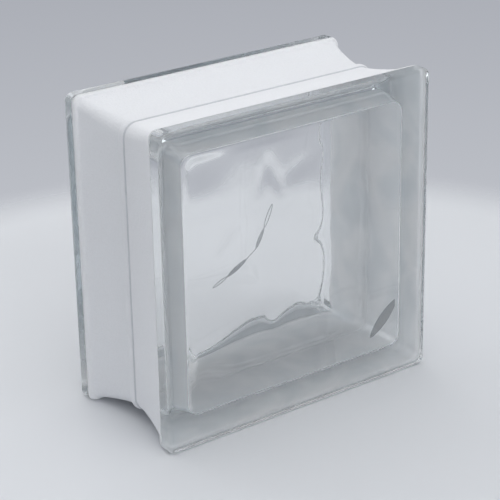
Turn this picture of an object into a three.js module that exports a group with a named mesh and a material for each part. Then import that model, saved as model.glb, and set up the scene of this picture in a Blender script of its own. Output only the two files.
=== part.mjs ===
// A hollow glass block for walls and partitions: two pressed glass dishes fused rim to rim round a
// sealed air space, with a white key coat in the mortar channel that runs round all four edges.
// Millimetres. +Z is up and the block stands on one edge, with its faces looking along -Y and +Y.
// The origin is at the middle of the foot of the block.
import * as THREE from "three";
import { mergeVertices } from "three/addons/utils/BufferGeometryUtils.js";

// Outside of the block
const WIDTH = 190; // along X
const HEIGHT = 190; // along Z
const THICKNESS = 95; // along Y, over both faces

// Flange that stands proud round each face
const RIM_WIDTH = 8.5; // straight part of the rim, back from the face
const RIM_CORNER = 4.8; // radius of the flange's corners, seen from the front
const ARRIS = 2.2; // rounding between the face and the rim

// Mortar channel round the four edges, and the bead where the dishes are fused
const CHANNEL_DEPTH = 7.8; // below the rims
const SHOULDER = 4; // radius of the rounding from the rim into the channel
const SHOULDER_TURN = 57; // degrees that the shoulder turns before the hollow begins
const SHOULDER_PULL = 2; // how stiffly the hollow leaves the shoulder
const FLOOR_PULL = 9; // how stiffly the hollow runs out beside the bead
const BODY_CORNER = 8.5; // radius of the channel's corners at the seam
const BEAD_WIDTH = 5; // across the seam
const BEAD_HEIGHT = 1.1; // above the channel's floor
const COAT_THICKNESS = 0.4;

// Glass of each dish
const PANE_THICKNESS = 9; // between the swells of the relief
const WALL_THICKNESS = 7; // side wall where it meets the other dish, under the bead
const WALL_DRAFT = 3.2; // by how much the wall is thicker at the pane than at the seam
const INNER_BEAD_WIDTH = 5; // the fused seam's bead inside the air space
const INNER_BEAD_HEIGHT = 0.8;
const CAVITY_CORNER = 7; // radius of the air space's corners, seen from the front
const CAVITY_FILLET = 1.5; // rounding between the pane and the side wall

// Cloud relief pressed into the inner side of each pane
const RELIEF_MARGIN = 5; // over which the relief fades out beside the fillet
// Each swell: middle along X and Z from the pane's middle, length, width, turn in degrees, rise.
// X runs to the right as the pane is seen from outside.
const FRONT_SWELLS = [
  [-12, 63, 34, 6, 49, 0.62],
  [-57, 47, 22, 5, -63, -0.29],
  [-44, 58, 8.5, 5.5, 2, 0.31],
  [-14, 47, 7.5, 3.5, -59, 0.35],
  [-11, 58, 31, 12, 25, -0.35],
  [1, 46, 15, 3.5, 31, 0.17],
  [7, 58, 23.5, 5, -64, 0.4],
  [8, 50, 8, 5, 19, 0.3],
  [14, 52, 24, 10, 88, -0.37],
  [-61, 38, 29.5, 7.5, -8, -0.83],
  [25, 25, 10.5, 5.5, -75, -0.66],
  [6, 4, 20.5, 11.5, 50, -0.23],
  [7, 6, 34, 5.5, 68, 0.12],
  [14, 9, 24.5, 3.5, 67, 0.08],
  [-42, -2, 33, 24.5, -40, -0.54],
  [14, -3, 7, 3.5, 77, 0.05],
  [19, -18, 20, 3.5, -82, 0.23],
  [-53, -28, 19.5, 6.5, 9, 0.3],
  [-48, -33, 33.5, 8.5, -8, 0.54],
  [-3, -36, 18, 5.5, -32, 0.3],
  [9, -22, 24, 10.5, 89, 0.34],
  [28, -26, 17.5, 9.5, -72, -0.87],
  [-64, -44, 32, 4.5, -6, -0.4],
  [-33, -42, 11.5, 4.5, 48, 0.45],
  [-26, -49, 11, 8.5, -62, 0.21],
  [-3, -41, 34, 5.5, 10, 0.17],
];
const BACK_SWELLS = [
  [-1, 25, 9.5, 9, -26, -0.5],
  [1, 28, 24, 5.5, 21, -0.36],
  [5, 12, 17, 12, 58, -0.31],
  [5, 18, 33.5, 7.5, -36, -0.83],
  [-16, -3, 33, 8, 46, -0.24],
  [26, -54, 33, 33, 6, -0.15],
];

// Faceting
const CORNER_STEPS = 5; // facets in each corner arc
const SIDE_STEPS = 11; // facets along each straight side
const ARRIS_STEPS = 2;
const SHOULDER_STEPS = 2;
const SWEEP_STEPS = 5;
const BEAD_STEPS = 3; // from a bead's foot to its crest
const FILLET_STEPS = 3;
const PANE_RINGS = 13; // rings of relief between the fillet and the middle of the pane

const HALF = THICKNESS / 2;

// One turn of a rounded rectangle in the XZ plane, inset from the block's outline, at a distance
// `depth` behind the face. Every ring has the same number of points, so that rings can be lofted.
function ring(inset, depth, corner) {
  const halfWidth = WIDTH / 2 - inset;
  const halfHeight = HEIGHT / 2 - inset;
  return turn(halfWidth, halfHeight, corner).map(
    ([x, z]) => new THREE.Vector3(x, depth - HALF, z + HEIGHT / 2),
  );
}

// The corners and sides of that turn as [x, z] pairs round the origin.
function turn(halfWidth, halfHeight, corner) {
  const points = [];
  const arcCentres = [
    [1, 1],
    [-1, 1],
    [-1, -1],
    [1, -1],
  ];
  arcCentres.forEach(([sx, sz], quarter) => {
    const cx = sx * (halfWidth - corner);
    const cz = sz * (halfHeight - corner);
    for (let i = 0; i <= CORNER_STEPS; i++) {
      const angle = (quarter + i / CORNER_STEPS) * (Math.PI / 2);
      points.push([cx + corner * Math.cos(angle), cz + corner * Math.sin(angle)]);
    }
    const [fromX, fromZ] = points[points.length - 1];
    const [nextX, nextZ] = arcCentres[(quarter + 1) % 4];
    const alongX = quarter % 2 === 0;
    const toX = alongX ? nextX * (halfWidth - corner) : fromX;
    const toZ = alongX ? fromZ : nextZ * (halfHeight - corner);
    for (let i = 1; i < SIDE_STEPS; i++) {
      const t = i / SIDE_STEPS;
      points.push([fromX + (toX - fromX) * t, fromZ + (toZ - fromZ) * t]);
    }
  });
  return points;
}

// The channel's surface from the rim to the seam, as stations of inset, depth behind the face and
// corner radius: a rounded shoulder, a hollow sweep and one half of the bead.
function channelStations() {
  const path = [];
  const turned = THREE.MathUtils.degToRad(SHOULDER_TURN);
  const onShoulder = (angle) =>
    new THREE.Vector2(SHOULDER * (1 - Math.cos(angle)), RIM_WIDTH + SHOULDER * Math.sin(angle));
  for (let i = 0; i < SHOULDER_STEPS; i++)
    path.push(onShoulder((i / SHOULDER_STEPS) * turned));
  const foot = onShoulder(turned);
  const away = new THREE.Vector2(Math.sin(turned), Math.cos(turned));
  const beadFoot = new THREE.Vector2(CHANNEL_DEPTH, HALF - BEAD_WIDTH / 2);
  const hollow = new THREE.CubicBezierCurve(
    foot,
    foot.clone().addScaledVector(away, SHOULDER_PULL),
    beadFoot.clone().add(new THREE.Vector2(0, -FLOOR_PULL)),
    beadFoot,
  );
  path.push(...hollow.getPoints(SWEEP_STEPS));
  for (let i = 1; i <= BEAD_STEPS; i++) {
    const angle = ((i / BEAD_STEPS) * Math.PI) / 2;
    path.push(
      new THREE.Vector2(
        CHANNEL_DEPTH - BEAD_HEIGHT * Math.sin(angle),
        HALF - (BEAD_WIDTH / 2) * Math.cos(angle),
      ),
    );
  }
  return path.map(({ x: inset, y: depth }) => {
    const share = (depth - RIM_WIDTH) / (HALF - RIM_WIDTH);
    return { inset, depth, corner: RIM_CORNER + (BODY_CORNER - RIM_CORNER) * share };
  });
}

// Height of the relief at a place on a pane: the sum of its swells, each a long low hump that is
// turned in the pane's plane.
function cloud(swells, x, z) {
  return swells.reduce((height, swell) => {
    const [atX, atZ, length, width, turned, rise] = swell;
    const cos = Math.cos(THREE.MathUtils.degToRad(turned));
    const sin = Math.sin(THREE.MathUtils.degToRad(turned));
    const along = ((x - atX) * cos + (z - atZ) * sin) / length;
    const across = ((z - atZ) * cos - (x - atX) * sin) / width;
    return height + rise * Math.exp(-(along * along + across * across) / 2);
  }, 0);
}

// Rings of the inner side of a dish, from the crest of the seam's bead to the middle of the pane.
function innerRings(swells) {
  const seamInset = CHANNEL_DEPTH - BEAD_HEIGHT + WALL_THICKNESS;
  const paneInset = seamInset + WALL_DRAFT;
  const draftLength = HALF - PANE_THICKNESS - CAVITY_FILLET;
  const rings = [];
  for (let i = 0; i <= BEAD_STEPS; i++) {
    const angle = ((i / BEAD_STEPS) * Math.PI) / 2;
    const fromSeam = (INNER_BEAD_WIDTH / 2) * Math.sin(angle);
    const wall = seamInset + (WALL_DRAFT * fromSeam) / draftLength;
    rings.push(ring(wall + INNER_BEAD_HEIGHT * Math.cos(angle), HALF - fromSeam, CAVITY_CORNER));
  }
  for (let i = 0; i <= FILLET_STEPS; i++) {
    const angle = ((i / FILLET_STEPS) * Math.PI) / 2;
    const inset = paneInset + CAVITY_FILLET * (1 - Math.cos(angle));
    const depth = PANE_THICKNESS + CAVITY_FILLET * (1 - Math.sin(angle));
    rings.push(ring(inset, depth, CAVITY_CORNER - CAVITY_FILLET * (1 - Math.cos(angle))));
  }
  const edgeInset = paneInset + CAVITY_FILLET;
  const halfWidth = WIDTH / 2 - edgeInset;
  const halfHeight = HEIGHT / 2 - edgeInset;
  for (let i = PANE_RINGS - 1; i >= 1; i--) {
    const share = i / PANE_RINGS;
    const points = turn(
      halfWidth * share,
      halfHeight * share,
      (CAVITY_CORNER - CAVITY_FILLET) * share,
    );
    const rise = Math.min(((1 - share) * halfWidth) / RELIEF_MARGIN, 1);
    const fade = rise * rise * (3 - 2 * rise);
    rings.push(
      points.map(([x, z]) => {
        const depth = PANE_THICKNESS + fade * cloud(swells, x, z);
        return new THREE.Vector3(x, depth - HALF, z + HEIGHT / 2);
      }),
    );
  }
  return rings;
}

// Rings of the outer side of a dish, from the edge of its flat face to the seam.
function outerRings() {
  const rings = [];
  for (let i = 0; i <= ARRIS_STEPS; i++) {
    const angle = ((i / ARRIS_STEPS) * Math.PI) / 2;
    const inset = ARRIS * (1 - Math.sin(angle));
    rings.push(ring(inset, ARRIS * (1 - Math.cos(angle)), RIM_CORNER - inset));
  }
  channelStations().forEach(({ inset, depth, corner }) => rings.push(ring(inset, depth, corner)));
  return rings;
}

// A closed surface through a list of rings. With `caps` the first and last rings are filled in to
// the two given middle points; without them the last ring joins the first, as on a hoop.
function loft(rings, caps) {
  const count = rings[0].length;
  const corners = rings.flat();
  const triangles = [];
  const bands = caps ? rings.length - 1 : rings.length;
  for (let band = 0; band < bands; band++) {
    const a = band * count;
    const b = ((band + 1) % rings.length) * count;
    for (let i = 0; i < count; i++) {
      const j = (i + 1) % count;
      triangles.push(a + i, b + i, b + j, a + i, b + j, a + j);
    }
  }
  if (caps) {
    const last = (rings.length - 1) * count;
    const firstMiddle = corners.push(caps[0]) - 1;
    const lastMiddle = corners.push(caps[1]) - 1;
    for (let i = 0; i < count; i++) {
      const j = (i + 1) % count;
      triangles.push(firstMiddle, i, j);
      triangles.push(lastMiddle, last + j, last + i);
    }
  }
  const geometry = new THREE.BufferGeometry().setFromPoints(corners);
  geometry.setIndex(triangles);
  return mergeVertices(geometry);
}

// One pressed dish with its face at the front: flat outside, clouded inside.
function dishGeometry(swells) {
  const faceMiddle = new THREE.Vector3(0, -HALF, HEIGHT / 2);
  const paneDepth = PANE_THICKNESS + cloud(swells, 0, 0);
  const paneMiddle = new THREE.Vector3(0, paneDepth - HALF, HEIGHT / 2);
  return loft([...outerRings(), ...innerRings(swells)], [faceMiddle, paneMiddle]);
}

// A half turn about Z, which carries the front dish to the back of the block.
const halfTurn = (geometry) => geometry.scale(-1, -1, 1);

// The key coat is a hoop: its inner side is the channel's own surface, from one rim to the other,
// and its outer side stands off that by the coat's thickness and feathers out on the shoulders.
function coatGeometry() {
  const front = channelStations();
  const back = front.slice(0, -1).reverse();
  const stations = [
    ...front,
    ...back.map((station) => ({ ...station, depth: THICKNESS - station.depth })),
  ];
  const glassSide = stations.map(({ inset, depth, corner }) => ring(inset, depth, corner));
  const openSide = stations.slice(1, -1).map(({ inset, depth, corner }) => {
    const film = Math.min(COAT_THICKNESS, inset / 2);
    return ring(inset - film, depth, corner + film);
  });
  return loft([...glassSide, ...openSide.reverse()].reverse());
}

function piece(name, geometry, material) {
  const mesh = new THREE.Mesh(geometry, material);
  mesh.name = name;
  return mesh;
}

const pressedGlass = new THREE.MeshStandardMaterial({
  name: "pressed glass",
  color: 0xc9d3d2,
  roughness: 0.05,
  metalness: 0,
  transparent: true,
  opacity: 0.35,
});
const keyCoat = new THREE.MeshStandardMaterial({
  name: "white key coat",
  color: 0xecedef,
  roughness: 0.85,
  metalness: 0,
});

const glassBlock = new THREE.Group();
glassBlock.name = "glass_block";
glassBlock.add(
  piece("front_dish", dishGeometry(FRONT_SWELLS), pressedGlass),
  piece("back_dish", halfTurn(dishGeometry(BACK_SWELLS)), pressedGlass),
  piece("key_coat", coatGeometry(), keyCoat),
);

export default glassBlock;
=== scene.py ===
"""A hollow glass block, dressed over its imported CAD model. Lengths are in millimetres until a mesh
is made: MM turns them into metres. +Z is up, and the two faces look along -Y and +Y."""
import math

import bmesh
import bpy
import numpy as np
from mathutils import Matrix, Vector


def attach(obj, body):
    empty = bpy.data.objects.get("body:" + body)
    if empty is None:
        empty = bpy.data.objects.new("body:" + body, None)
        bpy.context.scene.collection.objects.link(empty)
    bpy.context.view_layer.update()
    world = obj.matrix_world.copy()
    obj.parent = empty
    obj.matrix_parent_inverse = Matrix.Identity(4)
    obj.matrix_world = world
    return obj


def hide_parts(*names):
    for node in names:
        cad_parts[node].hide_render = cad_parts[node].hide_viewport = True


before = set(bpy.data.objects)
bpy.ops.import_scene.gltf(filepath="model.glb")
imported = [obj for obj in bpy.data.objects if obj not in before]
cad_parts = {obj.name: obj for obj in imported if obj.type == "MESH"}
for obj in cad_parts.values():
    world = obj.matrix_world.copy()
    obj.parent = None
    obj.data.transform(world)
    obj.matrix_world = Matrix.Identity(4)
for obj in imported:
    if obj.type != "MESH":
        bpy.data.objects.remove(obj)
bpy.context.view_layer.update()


# --- The pressed glass -------------------------------------------------------------------------
# Two dishes of clear soda-lime glass, pressed hot in iron moulds and then fused rim to rim, so that
# the finished block is one body of glass round a sealed air space. The fused joint is the bead that
# runs round the middle of all four edges; the inner side of each pane is pressed in low swells.

MM = 0.001
WIDTH = 190
HEIGHT = 190
THICKNESS = 95
HALF = THICKNESS / 2

# Behind the rim, a rounded shoulder of radius SHOULDER turns through SHOULDER_TURN. A sweep with a
# handle of one PULL at each end then runs down to the channel's floor beside the bead.
RIM_WIDTH = 8.5
RIM_CORNER = 4.8
ARRIS = 2.2
CHANNEL_DEPTH = 7.8
SHOULDER = 4
SHOULDER_TURN = math.radians(57)
SHOULDER_PULL = 2
FLOOR_PULL = 9
BODY_CORNER = 8.5
BEAD_WIDTH = 5
BEAD_HEIGHT = 1.1

PANE_THICKNESS = 9
WALL_THICKNESS = 7
WALL_DRAFT = 3.2
INNER_BEAD_WIDTH = 5
INNER_BEAD_HEIGHT = 0.8
CAVITY_CORNER = 7
CAVITY_FILLET = 1.5

# Each swell: middle along X and Z from the pane's middle, spread along and across (as standard
# deviations), turn in degrees, and rise into the air space. X runs to the right as the pane is seen
# from outside.
RELIEF_MARGIN = 5  # the width beside the walls over which the relief fades in
FRONT_SWELLS = [
    (-70, -45, 13, 7, 0, -1.2),  # hollow along the foot on the left
    (-33, -19, 9, 8, 10, -0.6),  # two hollows over the foot, with a sharp dip between them
    (-1, -19, 10, 8, -4, -0.7),
    (-19, -26, 3.5, 6, 0, 0.3),  # the ridge in that dip
    (8, 10, 5, 4.5, 0, -0.3),  # small hollow beside the upright edge
    (7, 24, 7, 7, 0, 0.35),  # low mounds over and under it
    (4, 52, 9, 12, 0, 0.15),
    (10, -12, 7, 12, 0, 0.5),
    (-66, 69, 12, 9, 10, 1.1),  # shoulder at the top left
    (-40, 71, 9, 7, 10, -0.3),  # two hollows under the top
    (-16, 74, 12, 8, 0, -0.6),
    (-24, 54, 9, 3, 66, 0.45),  # two narrow ridges that lean together like a roof
    (-16, 54, 9, 3, -66, 0.45),
    (3, 55, 10, 4, 24, 0.4),  # thin ridge that climbs to the right
    (48, 30, 16, 6, 55, 0.3),  # faint waves before the right wall
    (60, -8, 14, 7, -60, -0.3),
    (42, -30, 18, 7, 20, 0.25),
]
BACK_SWELLS = [
    (-25, 32, 30, 12, 35, -0.3),  # broad, shallow hollows and one mound
    (28, -22, 24, 14, -40, 0.3),
    (-42, -38, 26, 12, 10, -0.3),
]

CLOSE = 0.3  # the flat beside an edge, so that smooth shading doesn't run round it
WELD = 0.001  # points of the rolled mesh that lie closer than this are one


def quarter(steps, first=0):
    """Angles of a quarter turn in equal steps."""
    return [i / steps * math.pi / 2 for i in range(first, steps + 1)]


def channel_rows(shoulder_steps=8, sweep_steps=24, bead_steps=10):
    """The channel's surface from the rim to the seam, as rows of inset, depth behind the face and
    corner radius: a rounded shoulder, a hollow sweep and half of the bead."""
    path = []
    for i in range(shoulder_steps):
        angle = SHOULDER_TURN * i / shoulder_steps
        path.append((SHOULDER * (1 - math.cos(angle)), RIM_WIDTH + SHOULDER * math.sin(angle)))
    along, across = math.cos(SHOULDER_TURN), math.sin(SHOULDER_TURN)
    foot = (SHOULDER * (1 - along), RIM_WIDTH + SHOULDER * across)
    end = (CHANNEL_DEPTH, HALF - BEAD_WIDTH / 2)
    pulls = [
        foot,
        (foot[0] + SHOULDER_PULL * across, foot[1] + SHOULDER_PULL * along),
        (end[0], end[1] - FLOOR_PULL),
        end,
    ]
    for i in range(sweep_steps):
        t = i / sweep_steps
        shares = [(1 - t) ** 3, 3 * t * (1 - t) ** 2, 3 * t * t * (1 - t), t**3]
        path.append(tuple(sum(s * pull[axis] for s, pull in zip(shares, pulls)) for axis in (0, 1)))
    for angle in quarter(bead_steps):
        path.append(
            (CHANNEL_DEPTH - BEAD_HEIGHT * math.sin(angle), HALF - BEAD_WIDTH / 2 * math.cos(angle))
        )
    rows = []
    for inset, depth in path:
        share = (depth - RIM_WIDTH) / (HALF - RIM_WIDTH)
        rows.append((inset, depth, RIM_CORNER + (BODY_CORNER - RIM_CORNER) * share))
    return rows


def outer_rows():
    """The outer side of a dish from the middle of its face to the seam."""
    face_corner = RIM_CORNER - ARRIS
    rows = [(WIDTH / 2, 0, 0), (CHANNEL_DEPTH * 2, 0, face_corner), (ARRIS + CLOSE, 0, face_corner)]
    for angle in quarter(8):
        inset = ARRIS * (1 - math.sin(angle))
        rows.append((inset, ARRIS * (1 - math.cos(angle)), RIM_CORNER - inset))
    rows += [(0, ARRIS + CLOSE, RIM_CORNER), (0, RIM_WIDTH - CLOSE, RIM_CORNER)]
    return rows + channel_rows()


def inner_rows(bead_steps=8, wall_steps=12, fillet_steps=10, rings=64):
    """The inner side of a dish from the seam to the middle of the pane. A fourth value gives the
    share of the relief that each row takes."""
    seam_inset = CHANNEL_DEPTH - BEAD_HEIGHT + WALL_THICKNESS
    pane_inset = seam_inset + WALL_DRAFT
    wall_end = PANE_THICKNESS + CAVITY_FILLET
    rows = []
    for angle in quarter(bead_steps):
        depth = HALF - INNER_BEAD_WIDTH / 2 * math.sin(angle)
        drafted = seam_inset + WALL_DRAFT * (HALF - depth) / (HALF - wall_end)
        rows.append((drafted + INNER_BEAD_HEIGHT * math.cos(angle), depth, CAVITY_CORNER, 0))
    bead_foot = rows[-1]
    for i in range(1, wall_steps):
        t = i / wall_steps
        inset = bead_foot[0] + (pane_inset - bead_foot[0]) * t
        rows.append((inset, bead_foot[1] + (wall_end - bead_foot[1]) * t, CAVITY_CORNER, 0))
    for angle in quarter(fillet_steps):
        cut = CAVITY_FILLET * (1 - math.cos(angle))
        depth = PANE_THICKNESS + CAVITY_FILLET * (1 - math.sin(angle))
        rows.append((pane_inset + cut, depth, CAVITY_CORNER - cut, 0))
    half_pane = WIDTH / 2 - pane_inset - CAVITY_FILLET
    for i in range(rings - 1, -1, -1):
        share = i / rings
        rise = min((1 - share) * half_pane / RELIEF_MARGIN, 1)
        corner = (CAVITY_CORNER - CAVITY_FILLET) * share
        inset = WIDTH / 2 - half_pane * share
        rows.append((inset, PANE_THICKNESS, corner, rise * rise * (3 - 2 * rise)))
    return rows


def add(tree, kind, into={}, **settings):
    """Adds a node with its settings. An input takes a value, a socket or a node's first output."""
    made = tree.nodes.new(kind)
    for name, value in settings.items():
        setattr(made, name, value)
    for socket, value in into.items():
        if isinstance(value, bpy.types.Node):
            value = value.outputs[0]
        if isinstance(value, bpy.types.NodeSocket):
            tree.links.new(value, made.inputs[socket])
        else:
            made.inputs[socket].default_value = value
    return made


def rolling_tree():
    """Rolls a profile round the block: each point of it becomes one turn of a rounded square, and
    the turns are joined in their order. A point holds inset, depth and corner radius as X, Y, Z."""
    tree = bpy.data.node_groups.new("roll round the block", "GeometryNodeTree")
    named = {}
    for name, kind in {
        "Profile": "NodeSocketGeometry",
        "Width": "NodeSocketFloat",
        "Height": "NodeSocketFloat",
        "Thickness": "NodeSocketFloat",
        "Corner facets": "NodeSocketInt",
        "Side facets": "NodeSocketInt",
        "Finish": "NodeSocketMaterial",
    }.items():
        socket = tree.interface.new_socket(name=name, in_out="INPUT", socket_type=kind)
        named[name] = socket.identifier
    tree.interface.new_socket(name="Block", in_out="OUTPUT", socket_type="NodeSocketGeometry")
    given = add(tree, "NodeGroupInput").outputs
    math_node, vector_node = "ShaderNodeMath", "ShaderNodeVectorMath"

    # a flat grid with one row of vertices for each point of the profile
    profile = given["Profile"]
    rows = add(tree, "GeometryNodeAttributeDomainSize", {0: profile}).outputs["Point Count"]
    facets = add(tree, math_node, {0: given["Corner facets"], 1: given["Side facets"]}, operation="ADD")
    columns = add(tree, math_node, {0: facets, 1: 4.0, 2: 1.0}, operation="MULTIPLY_ADD")
    size = {"Size X": 1.0, "Size Y": 1.0, "Vertices X": columns, "Vertices Y": rows}
    grid = add(tree, "GeometryNodeMeshGrid", size)

    # which column and row a vertex is in, and how far round the block that column lies; the half that
    # is added before a division keeps its rounding from tipping over
    index = add(tree, "GeometryNodeInputIndex")
    nudged = add(tree, math_node, {0: index, 1: 0.5}, operation="ADD")
    share = add(tree, math_node, {0: nudged, 1: rows}, operation="DIVIDE")
    column = add(tree, math_node, {0: share}, operation="FLOOR")
    before = add(tree, math_node, {0: column, 1: rows}, operation="MULTIPLY")
    row = add(tree, math_node, {0: index, 1: before}, operation="SUBTRACT")
    nudged = add(tree, math_node, {0: column, 1: 0.5}, operation="ADD")
    share = add(tree, math_node, {0: nudged, 1: facets}, operation="DIVIDE")
    side = add(tree, math_node, {0: share}, operation="FLOOR")
    before = add(tree, math_node, {0: side, 1: facets}, operation="MULTIPLY")
    step = add(tree, math_node, {0: column, 1: before}, operation="SUBTRACT")
    arc = add(tree, math_node, {0: step, 1: given["Corner facets"]}, operation="DIVIDE")
    arc = add(tree, math_node, {0: arc, 1: 1.0}, operation="MINIMUM")
    past = add(tree, math_node, {0: step, 1: given["Corner facets"]}, operation="SUBTRACT")
    past = add(tree, math_node, {0: past, 1: 0.0}, operation="MAXIMUM")
    along = add(tree, math_node, {0: past, 1: given["Side facets"]}, operation="DIVIDE")

    # the outward direction there, and the centre of the corner arc as a share of the half size
    quarters = add(tree, math_node, {0: side, 1: arc}, operation="ADD")
    angle = add(tree, math_node, {0: quarters, 1: math.pi / 2}, operation="MULTIPLY")
    cosine = add(tree, math_node, {0: angle}, operation="COSINE")
    sine = add(tree, math_node, {0: angle}, operation="SINE")
    outward = add(tree, "ShaderNodeCombineXYZ", {"X": cosine, "Z": sine})
    ends = []
    for offset in (0.5, 1.5):
        quarters = add(tree, math_node, {0: side, 1: offset}, operation="ADD")
        angle = add(tree, math_node, {0: quarters, 1: math.pi / 2}, operation="MULTIPLY")
        cosine = add(tree, math_node, {0: angle}, operation="COSINE")
        sine = add(tree, math_node, {0: angle}, operation="SINE")
        unit = add(tree, "ShaderNodeCombineXYZ", {"X": cosine, "Z": sine})
        ends.append(add(tree, vector_node, {0: unit, "Scale": math.sqrt(2)}, operation="SCALE"))
    centre = add(tree, "ShaderNodeMix", {0: along, 4: ends[0], 5: ends[1]}, data_type="VECTOR").outputs[1]

    # the profile's point for that row
    spot = add(tree, "GeometryNodeInputPosition")
    point = add(
        tree,
        "GeometryNodeSampleIndex",
        {0: profile, "Value": spot, "Index": row},
        data_type="FLOAT_VECTOR",
    )
    split = add(tree, "ShaderNodeSeparateXYZ", {0: point}).outputs
    inset, depth, corner = split[0], split[1], split[2]
    mark = add(tree, "GeometryNodeInputNamedAttribute", {"Name": "mark"}, data_type="FLOAT")
    mark = add(tree, "GeometryNodeSampleIndex", {0: profile, "Value": mark, "Index": row})

    # arc centre, plus the radius outwards, plus the block's own place
    drawn_in = add(tree, math_node, {0: inset, 1: corner}, operation="ADD")
    half_width = add(tree, math_node, {0: given["Width"], 1: 0.5}, operation="MULTIPLY")
    half_width = add(tree, math_node, {0: half_width, 1: drawn_in}, operation="SUBTRACT")
    middle = add(tree, math_node, {0: given["Height"], 1: 0.5}, operation="MULTIPLY")
    half_height = add(tree, math_node, {0: middle, 1: drawn_in}, operation="SUBTRACT")
    half = add(tree, "ShaderNodeCombineXYZ", {"X": half_width, "Z": half_height})
    reach = add(tree, vector_node, {0: outward, "Scale": corner}, operation="SCALE")
    around = add(tree, vector_node, {0: centre, 1: half, 2: reach}, operation="MULTIPLY_ADD")
    half_thickness = add(tree, math_node, {0: given["Thickness"], 1: 0.5}, operation="MULTIPLY")
    back = add(tree, math_node, {0: depth, 1: half_thickness}, operation="SUBTRACT")
    place = add(tree, "ShaderNodeCombineXYZ", {"Y": back, "Z": middle})
    spot = add(tree, vector_node, {0: around, 1: place}, operation="ADD")
    placed = add(tree, "GeometryNodeSetPosition", {"Geometry": grid, "Position": spot})

    marked = add(tree, "GeometryNodeStoreNamedAttribute", {"Geometry": placed, "Name": "mark", "Value": mark})
    merged = add(tree, "GeometryNodeMergeByDistance", {"Geometry": marked, "Distance": WELD * MM})
    smooth = add(tree, "GeometryNodeSetShadeSmooth", {"Geometry": merged, "Shade Smooth": True})
    realised = add(tree, "GeometryNodeRealizeInstances", {0: smooth})
    finished = add(tree, "GeometryNodeSetMaterial", {0: realised, "Material": given["Finish"]})
    add(tree, "NodeGroupOutput", {0: finished})
    return tree, named


roll_tree, roll_input = rolling_tree()


def roll(name, rows, corner_facets, side_facets, finish):
    """A plain mesh made by rolling rows round the block. A fourth value of a row is kept on its
    points as the attribute `mark`."""
    profile = bpy.data.meshes.new(name)
    points = [[value * MM for value in row[:3]] for row in rows]
    profile.from_pydata(points, [(i, i + 1) for i in range(len(points) - 1)], [])
    marks = profile.attributes.new("mark", "FLOAT", "POINT")
    marks.data.foreach_set("value", [row[3] if len(row) > 3 else 0 for row in rows])
    made = bpy.data.objects.new(name, profile)
    bpy.context.scene.collection.objects.link(made)
    modifier = made.modifiers.new("roll", "NODES")
    modifier.node_group = roll_tree
    for socket, value in {
        "Width": WIDTH * MM,
        "Height": HEIGHT * MM,
        "Thickness": THICKNESS * MM,
        "Corner facets": corner_facets,
        "Side facets": side_facets,
        "Finish": finish,
    }.items():
        modifier[roll_input[socket]] = value
    evaluated = made.evaluated_get(bpy.context.evaluated_depsgraph_get())
    shape = bpy.data.meshes.new_from_object(evaluated)
    made.modifiers.remove(modifier)
    made.data = shape
    return made


def linear(colour):
    """An sRGB hex colour as the linear colour that a socket takes."""
    shares = [int(colour[i : i + 2], 16) / 255 for i in (1, 3, 5)]
    return [c / 12.92 if c <= 0.04045 else ((c + 0.055) / 1.055) ** 2.4 for c in shares] + [1]


WAVE_SIZE = 14
WAVE_DEPTH = 0.05

# Painted shade: pairs of fine dark lines that part and close again, with clear or greyer glass between
# them, darken the pane's colour where its relief bends dark views into sight. The front pane has a slanting
# string of four pairs, with a single dark line between the upper and the lower pair, and a broad pair low
# down near its right edge.
SHADE_LINE_WIDTH = 0.5
SHADE_LINE_POINT = 0.65  # 1 draws the ends of a pair of painted shade lines out to points, and 0.5 rounds them
PAINTED_SHADE_LINES = (
    # from and to (across and up from the pane's middle), gap between the two dark lines, painted grey between
    # them
    ((-17.5, 36.5), (-23.5, 23.5), 2.2, 0.1),
    ((-23.5, 23.5), (-29.5, 12.5), 2.0, 0.8),
    ((-29.5, 12.5), (-36.0, 8.0), 0.0, 0.0),
    ((-36.0, 8.0), (-49.5, 1.0), 2.4, 0.9),
    ((-49.5, 1.0), (-59.5, -3.0), 1.6, 0.1),
    ((55.0, -67.5), (75.5, -47.5), 7.0, 0.8),
)


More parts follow.
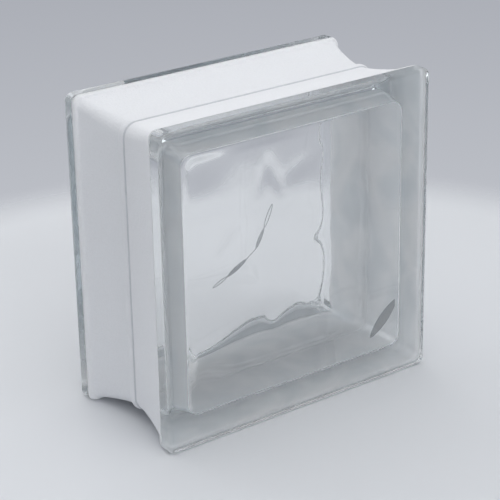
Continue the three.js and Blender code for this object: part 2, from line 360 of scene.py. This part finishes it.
def painted_shade_line(tree, spot, start, end, gap, grey):
    """Painted shade of one pair of dark lines at `spot`: 1 on the lines and `grey` between them."""
    reach = math.dist(start, end)
    run = ((end[0] - start[0]) / reach, 0, (end[1] - start[1]) / reach)
    side = (-run[2], 0, run[0])
    start = (start[0] * MM, 0, (HEIGHT / 2 + start[1]) * MM)
    off = add(tree, "ShaderNodeVectorMath", {0: spot, 1: start}, operation="SUBTRACT")
    along = add(tree, "ShaderNodeVectorMath", {0: off, 1: run}, operation="DOT_PRODUCT").outputs["Value"]
    across = add(tree, "ShaderNodeVectorMath", {0: off, 1: side}, operation="DOT_PRODUCT").outputs["Value"]
    wave = add(tree, "ShaderNodeMath", {0: along, 1: math.pi / (reach * MM)}, operation="MULTIPLY")
    parting = add(tree, "ShaderNodeMath", {0: wave}, operation="SINE")
    parting = add(tree, "ShaderNodeMath", {0: parting, 1: SHADE_LINE_POINT}, operation="POWER")
    parting = add(tree, "ShaderNodeMath", {0: parting, 1: gap / 2 * MM}, operation="MULTIPLY")
    from_middle = add(tree, "ShaderNodeMath", {0: across}, operation="ABSOLUTE")
    outside = add(tree, "ShaderNodeMath", {0: from_middle, 1: parting}, operation="SUBTRACT")
    from_lip = add(tree, "ShaderNodeMath", {0: outside}, operation="ABSOLUTE")
    shade_line = add(
        tree,
        "ShaderNodeMapRange",
        {"Value": from_lip, "From Min": SHADE_LINE_WIDTH * MM, "From Max": 0.0},
        interpolation_type="SMOOTHSTEP",
    )
    shade_between = add(tree, "ShaderNodeMath", {0: outside, 1: 0.0}, operation="LESS_THAN")
    shade_between = add(tree, "ShaderNodeMath", {0: shade_between, 1: grey}, operation="MULTIPLY")
    painted_shade = add(tree, "ShaderNodeMath", {0: shade_line, 1: shade_between}, operation="MAXIMUM")
    middle = math.pi / 2
    within = add(tree, "ShaderNodeMath", {0: wave, 1: middle, 2: middle}, operation="COMPARE")
    return add(tree, "ShaderNodeMath", {0: painted_shade, 1: within}, operation="MULTIPLY")


def glass_finish():
    """Pressed soda-lime glass: clear, with a slight blue-grey in the thick rims. The side that the
    plunger pressed is faintly wavy, which bends what is seen through it."""
    made = bpy.data.materials.new("pressed soda-lime glass")
    made.use_nodes = True
    tree = made.node_tree
    tree.nodes.clear()
    spot = add(tree, "ShaderNodeTexCoord").outputs["Object"]
    inside = add(tree, "ShaderNodeAttribute", attribute_name="inside").outputs["Fac"]
    waves = add(
        tree,
        "ShaderNodeTexNoise",
        {
            "Vector": spot,
            "Scale": 1 / (WAVE_SIZE * MM),
            "Detail": 1.0,
            "Roughness": 0.4,
            "Distortion": 0.6,
        },
    )
    height = add(tree, "ShaderNodeMath", {0: waves, 1: inside}, operation="MULTIPLY")
    wavy = add(tree, "ShaderNodeBump", {"Strength": 1.0, "Distance": WAVE_DEPTH * MM, "Height": height})

    # painted shade: the pane's colour is darkened along these lines, standing in for dark views that the
    # relief bends into sight
    painted_shade = 0.0
    for shape in PAINTED_SHADE_LINES:
        painted_shade = add(tree, "ShaderNodeMath", {0: painted_shade, 1: painted_shade_line(tree, spot, *shape)}, operation="MAXIMUM")
    mark = add(tree, "ShaderNodeAttribute", attribute_name="mark").outputs["Fac"]
    on_pane = add(tree, "ShaderNodeMath", {0: mark, 1: 0.5}, operation="GREATER_THAN")
    painted_shade = add(tree, "ShaderNodeMath", {0: painted_shade, 1: on_pane}, operation="MULTIPLY")
    clear = add(
        tree,
        "ShaderNodeMix",
        {0: painted_shade, 6: linear("#ffffff"), 7: linear("#4a4f55")},
        data_type="RGBA",
    ).outputs[2]
    skin = add(
        tree,
        "ShaderNodeBsdfPrincipled",
        {"Base Color": clear, "Roughness": 0.0, "IOR": 1.52, "Transmission Weight": 1.0, "Normal": wavy},
    )
    body = add(tree, "ShaderNodeVolumeAbsorption", {"Color": linear("#cfd9dd"), "Density": 7.0})
    add(tree, "ShaderNodeOutputMaterial", {"Surface": skin, "Volume": body})
    return made


def cloud(swells, x, z):
    """Height of the relief at places on a pane: the sum of its swells."""
    height = np.zeros_like(x)
    for at_x, at_z, length, width, turned, rise in swells:
        cosine, sine = math.cos(math.radians(turned)), math.sin(math.radians(turned))
        along = ((x - at_x) * cosine + (z - at_z) * sine) / length
        across = ((z - at_z) * cosine - (x - at_x) * sine) / width
        height += rise * np.exp(-(along**2 + across**2) / 2)
    return height


def emboss(piece):
    """Presses the relief into both panes of the air space, by the share that `mark` gives. Its sign
    tells the panes apart."""
    mesh = piece.data
    places = np.zeros(len(mesh.vertices) * 3, np.float32)
    mesh.vertices.foreach_get("co", places)
    places = places.reshape(-1, 3)
    share = np.zeros(len(mesh.vertices), np.float32)
    mesh.attributes["mark"].data.foreach_get("value", share)
    x, z = places[:, 0] / MM, places[:, 2] / MM - HEIGHT / 2
    relief = np.where(share > 0, cloud(FRONT_SWELLS, x, z), cloud(BACK_SWELLS, -x, z))
    places[:, 1] += share * relief * MM
    mesh.vertices.foreach_set("co", places.reshape(-1))
    mesh.update()


def facing_back(rows):
    """The same rows on the back dish."""
    return [(inset, THICKNESS - depth, corner, *(-m for m in mark)) for inset, depth, corner, *mark in rows]


glass = glass_finish()
outside = outer_rows()
outside = outside + facing_back(outside[:-1])[::-1]
block = roll("glass_block", outside[::-1], corner_facets=12, side_facets=24, finish=glass)
inside = inner_rows()
inside = inside[::-1] + facing_back(inside[1:])
space = roll("air_space", inside, corner_facets=10, side_facets=80, finish=glass)
emboss(space)

# the block and its air space become one mesh, with the attribute `inside` at 1 on the air space
for skin, value in ((block, 0.0), (space, 1.0)):
    label = skin.data.attributes.new("inside", "FLOAT", "POINT")
    label.data.foreach_set("value", [value] * len(skin.data.vertices))
both = bmesh.new()
both.from_mesh(block.data)
both.from_mesh(space.data)
both.to_mesh(block.data)
both.free()
bpy.data.objects.remove(space)
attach(block, "root")
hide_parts("front_dish", "back_dish")


# --- The key coat ------------------------------------------------------------------------------
# A white coat sprayed on the four hollow edges of the finished block, so that mortar keys to it
# and the joint looks white through the glass. It is a matt vinyl paint with a fine grain.

COAT_THICKNESS = 0.4
COAT_KEY = 0.1  # how far its inner side is bedded in the glass
FOOT_SHADE_WIDTH = 0.7  # width of the painted shade that darkens the coat along both feet of the bead
GRAIN_SIZE = 1.1
GRAIN_DEPTH = 0.3
STREAK_SIZE = 45  # of the uneven wetting where it lies against the glass


def coat_rows():
    """A closed loop of rows: the side on the glass, and the open side back again. The fourth value
    is 1 on the glass."""
    front = channel_rows()
    stations = front + facing_back(front[:-1])[::-1]
    bedded = [(inset + COAT_KEY, depth, corner - COAT_KEY, 1) for inset, depth, corner in stations]
    open_side = []
    for inset, depth, corner in stations[1:-1]:
        film = min(COAT_THICKNESS, inset / 2)
        open_side.append((inset - film, depth, corner + film, 0))
    return bedded + open_side[::-1] + bedded[:1]


def coat_finish():
    """Matt white vinyl paint: a chalky film thin enough to let light through, with a sprayed grain
    of about a millimetre on its open side, and smooth and whiter where it lies against the glass."""
    made = bpy.data.materials.new("matt vinyl key coat")
    made.use_nodes = True
    tree = made.node_tree
    tree.nodes.clear()
    spot = add(tree, "ShaderNodeTexCoord").outputs["Object"]
    side = add(tree, "ShaderNodeAttribute", attribute_name="mark").outputs["Fac"]
    open_side = add(tree, "ShaderNodeMath", {0: 1.0, 1: side}, operation="SUBTRACT")
    grain = add(tree, "ShaderNodeTexNoise", {"Vector": spot, "Scale": 1 / (GRAIN_SIZE * MM), "Detail": 2.0})
    height = add(tree, "ShaderNodeMath", {0: grain, 1: open_side}, operation="MULTIPLY")
    rough = add(tree, "ShaderNodeBump", {"Strength": 1.0, "Distance": GRAIN_DEPTH * MM, "Height": height})
    grain_and_foot_shade = add(
        tree,
        "ShaderNodeMix",
        {0: grain, 6: linear("#dbdcdf"), 7: linear("#e3e4e7")},
        data_type="RGBA",
    ).outputs[2]
    through = add(tree, "ShaderNodeSeparateXYZ", {0: spot}).outputs[1]
    from_seam = add(tree, "ShaderNodeMath", {0: through}, operation="ABSOLUTE")
    # painted shade: the coat is darker along both feet of the bead, standing in for the shade in their narrow
    # hollows
    foot = add(
        tree,
        "ShaderNodeMath",
        {0: from_seam, 1: BEAD_WIDTH / 2 * MM, 2: FOOT_SHADE_WIDTH / 2 * MM},
        operation="COMPARE",
    )
    grain_and_foot_shade = add(
        tree,
        "ShaderNodeMix",
        {0: foot, 6: grain_and_foot_shade, 7: linear("#c6c8cc")},
        data_type="RGBA",
    ).outputs[2]
    streak = add(
        tree,
        "ShaderNodeTexNoise",
        {"Vector": spot, "Scale": 1 / (STREAK_SIZE * MM), "Detail": 2.0, "Distortion": 1.2},
    )
    uneven = add(tree, "ShaderNodeMapRange", {"Value": streak, "From Min": 0.35, "From Max": 0.65})
    wet = add(
        tree,
        "ShaderNodeMix",
        {0: uneven, 6: linear("#e8ebed"), 7: linear("#fdfdfe")},
        data_type="RGBA",
    ).outputs[2]
    white = add(tree, "ShaderNodeMix", {0: side, 6: grain_and_foot_shade, 7: wet}, data_type="RGBA").outputs[2]
    skin = add(
        tree,
        "ShaderNodeBsdfPrincipled",
        {
            "Base Color": white,
            "Roughness": 0.75,
            "IOR": 1.45,
            "Subsurface Weight": 1.0,
            "Subsurface Radius": (1.0, 1.0, 1.0),
            "Subsurface Scale": 1.0 * MM,
            "Normal": rough,
        },
    )
    add(tree, "ShaderNodeOutputMaterial", {"Surface": skin})
    return made


paint = coat_finish()
coat = roll("white_key_coat", coat_rows(), corner_facets=12, side_facets=24, finish=paint)
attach(coat, "root")
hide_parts("key_coat")


# --- Table, backdrop and light -------------------------------------------------------------------
# A pale round table that ends softly behind the block, a pale grey wall far behind it, and wide
# soft lights: one overhead, one in front of the block and one behind it.

TABLE_RADIUS = 450
TABLE_FADE = (310, 385)
TABLE_DROP = 0.1  # keeps the table's top clear of the block's foot
TABLE_FACETS = 96


def table_finish():
    """Smooth pale card: matt, with no pattern of its own, fading out towards its edge."""
    made = bpy.data.materials.new("pale table card")
    made.use_nodes = True
    tree = made.node_tree
    tree.nodes.clear()
    spot = add(tree, "ShaderNodeTexCoord").outputs["Object"]
    far = add(tree, "ShaderNodeVectorMath", {0: spot}, operation="LENGTH").outputs["Value"]
    gone = add(
        tree,
        "ShaderNodeMapRange",
        {"Value": far, "From Min": TABLE_FADE[0] * MM, "From Max": TABLE_FADE[1] * MM},
        interpolation_type="SMOOTHSTEP",
    )
    top = add(
        tree,
        "ShaderNodeBsdfPrincipled",
        {"Base Color": linear("#dadcdf"), "Roughness": 0.6, "IOR": 1.4},
    )
    clear = add(tree, "ShaderNodeBsdfTransparent")
    mixed = add(tree, "ShaderNodeMixShader", {0: gone, 1: top, 2: clear})
    add(tree, "ShaderNodeOutputMaterial", {"Surface": mixed})
    return made


round_edge = []
for i in range(TABLE_FACETS):
    angle = i / TABLE_FACETS * 2 * math.pi
    x, y = TABLE_RADIUS * math.cos(angle), TABLE_RADIUS * math.sin(angle)
    round_edge.append((x * MM, y * MM, -TABLE_DROP * MM))
table_top = bpy.data.meshes.new("table")
table_top.from_pydata(round_edge, [], [list(range(TABLE_FACETS))])
table_top.materials.append(table_finish())
table = bpy.data.objects.new("table", table_top)
scene = bpy.context.scene
scene.collection.objects.link(table)

# The wall is seen, mirrored and seen through the glass: pale low down and darker overhead, which
# draws the glass's edges. What lights a matt surface is plainer, and stronger through the glass.
ROOM_LIGHT = 0.56
MORE_THROUGH_GLASS = 0.75
SHADES = (
    # from and to (sine of the height above the horizon), and the colour from there up
    (-0.36, -0.24, "#abaeb6"),
    (-0.1, 0.3, "#85898f"),
)
studio = bpy.data.worlds.new("studio")
scene.world = studio
studio.use_nodes = True
tree = studio.node_tree
tree.nodes.clear()
direction = add(tree, "ShaderNodeTexCoord").outputs["Generated"]
height = add(tree, "ShaderNodeSeparateXYZ", {0: direction}).outputs[2]
wall = linear("#bcbfc6")
for low, high, colour in SHADES:
    share = add(tree, "ShaderNodeMapRange", {"Value": height, "From Min": low, "From Max": high})
    wall = add(tree, "ShaderNodeMix", {0: share, 6: wall, 7: linear(colour)}, data_type="RGBA").outputs[2]
rays = add(tree, "ShaderNodeLightPath").outputs
through = rays["Is Transmission Ray"]
seen = add(tree, "ShaderNodeMath", {0: rays["Is Camera Ray"], 1: rays["Is Glossy Ray"]}, operation="MAXIMUM")
seen = add(tree, "ShaderNodeMath", {0: seen, 1: through}, operation="MAXIMUM")
direct = add(tree, "ShaderNodeMath", {0: rays["Diffuse Depth"], 1: 0.5}, operation="LESS_THAN")
seen = add(tree, "ShaderNodeMath", {0: seen, 1: direct}, operation="MULTIPLY")
shown = add(tree, "ShaderNodeBackground", {"Color": wall, "Strength": 1.0})
sums = {0: through, 1: MORE_THROUGH_GLASS, 2: ROOM_LIGHT}
strength = add(tree, "ShaderNodeMath", sums, operation="MULTIPLY_ADD")
light = add(tree, "ShaderNodeBackground", {"Color": linear("#eef1f6"), "Strength": strength})
mixed = add(tree, "ShaderNodeMixShader", {0: seen, 1: light, 2: shown})
add(tree, "ShaderNodeOutputWorld", {"Surface": mixed})

# Each softbox: size along and up in metres, watts, and where it stands in metres.
for name, size, watts, stand in (
    ("overhead softbox", (1.8, 1.8), 8.2, (0.0, 0.0, 1.3)),
    ("front softbox", (1.6, 1.2), 9.0, (0.0, -1.5, 0.85)),
    ("back softbox", (1.6, 0.9), 6.0, (0.0, 1.4, 0.7)),
):
    data = bpy.data.lights.new(name, "AREA")
    data.shape = "RECTANGLE"
    data.size, data.size_y = size
    data.energy = watts
    softbox = bpy.data.objects.new(name, data)
    scene.collection.objects.link(softbox)
    softbox.visible_camera = False
    softbox.location = stand
    aim = Vector((0, 0, HEIGHT / 2 * MM)) - Vector(stand)
    softbox.rotation_euler = aim.to_track_quat("-Z", "Y").to_euler()


# --- The camera ----------------------------------------------------------------------------------
# A long lens a metre away, to the left of the block and above it, held a degree out of level.

AZIMUTH, ELEVATION, TILT = math.radians(-36.316), math.radians(22.696), math.radians(-1.041)
DISTANCE = 1038.5
SIDESTEP = (-1.581, -9.02)  # right and up of the line to the block's middle

away = Vector(
    (
        math.sin(AZIMUTH) * math.cos(ELEVATION),
        -math.cos(AZIMUTH) * math.cos(ELEVATION),
        math.sin(ELEVATION),
    )
)
level = (-away).cross(Vector((0, 0, 1))).normalized()
upright = level.cross(-away)
right = level * math.cos(TILT) + upright * math.sin(TILT)
up = upright * math.cos(TILT) - level * math.sin(TILT)
place = Vector((0, 0, HEIGHT / 2)) + away * DISTANCE + right * SIDESTEP[0] + up * SIDESTEP[1]
lens = bpy.data.cameras.new("camera")
lens.sensor_width = 36
lens.lens = 127.05
lens.clip_start = 0.01
camera = bpy.data.objects.new("camera", lens)
scene.collection.objects.link(camera)
camera.matrix_world = Matrix.Translation(place * MM) @ Matrix((right, up, away)).transposed().to_4x4()
scene.camera = camera

scene.view_settings.view_transform = "Standard"
scene.cycles.use_denoising = True
scene.cycles.max_bounces = 32
scene.cycles.transmission_bounces = 32
scene.cycles.glossy_bounces = 16
scene.cycles.diffuse_bounces = 12
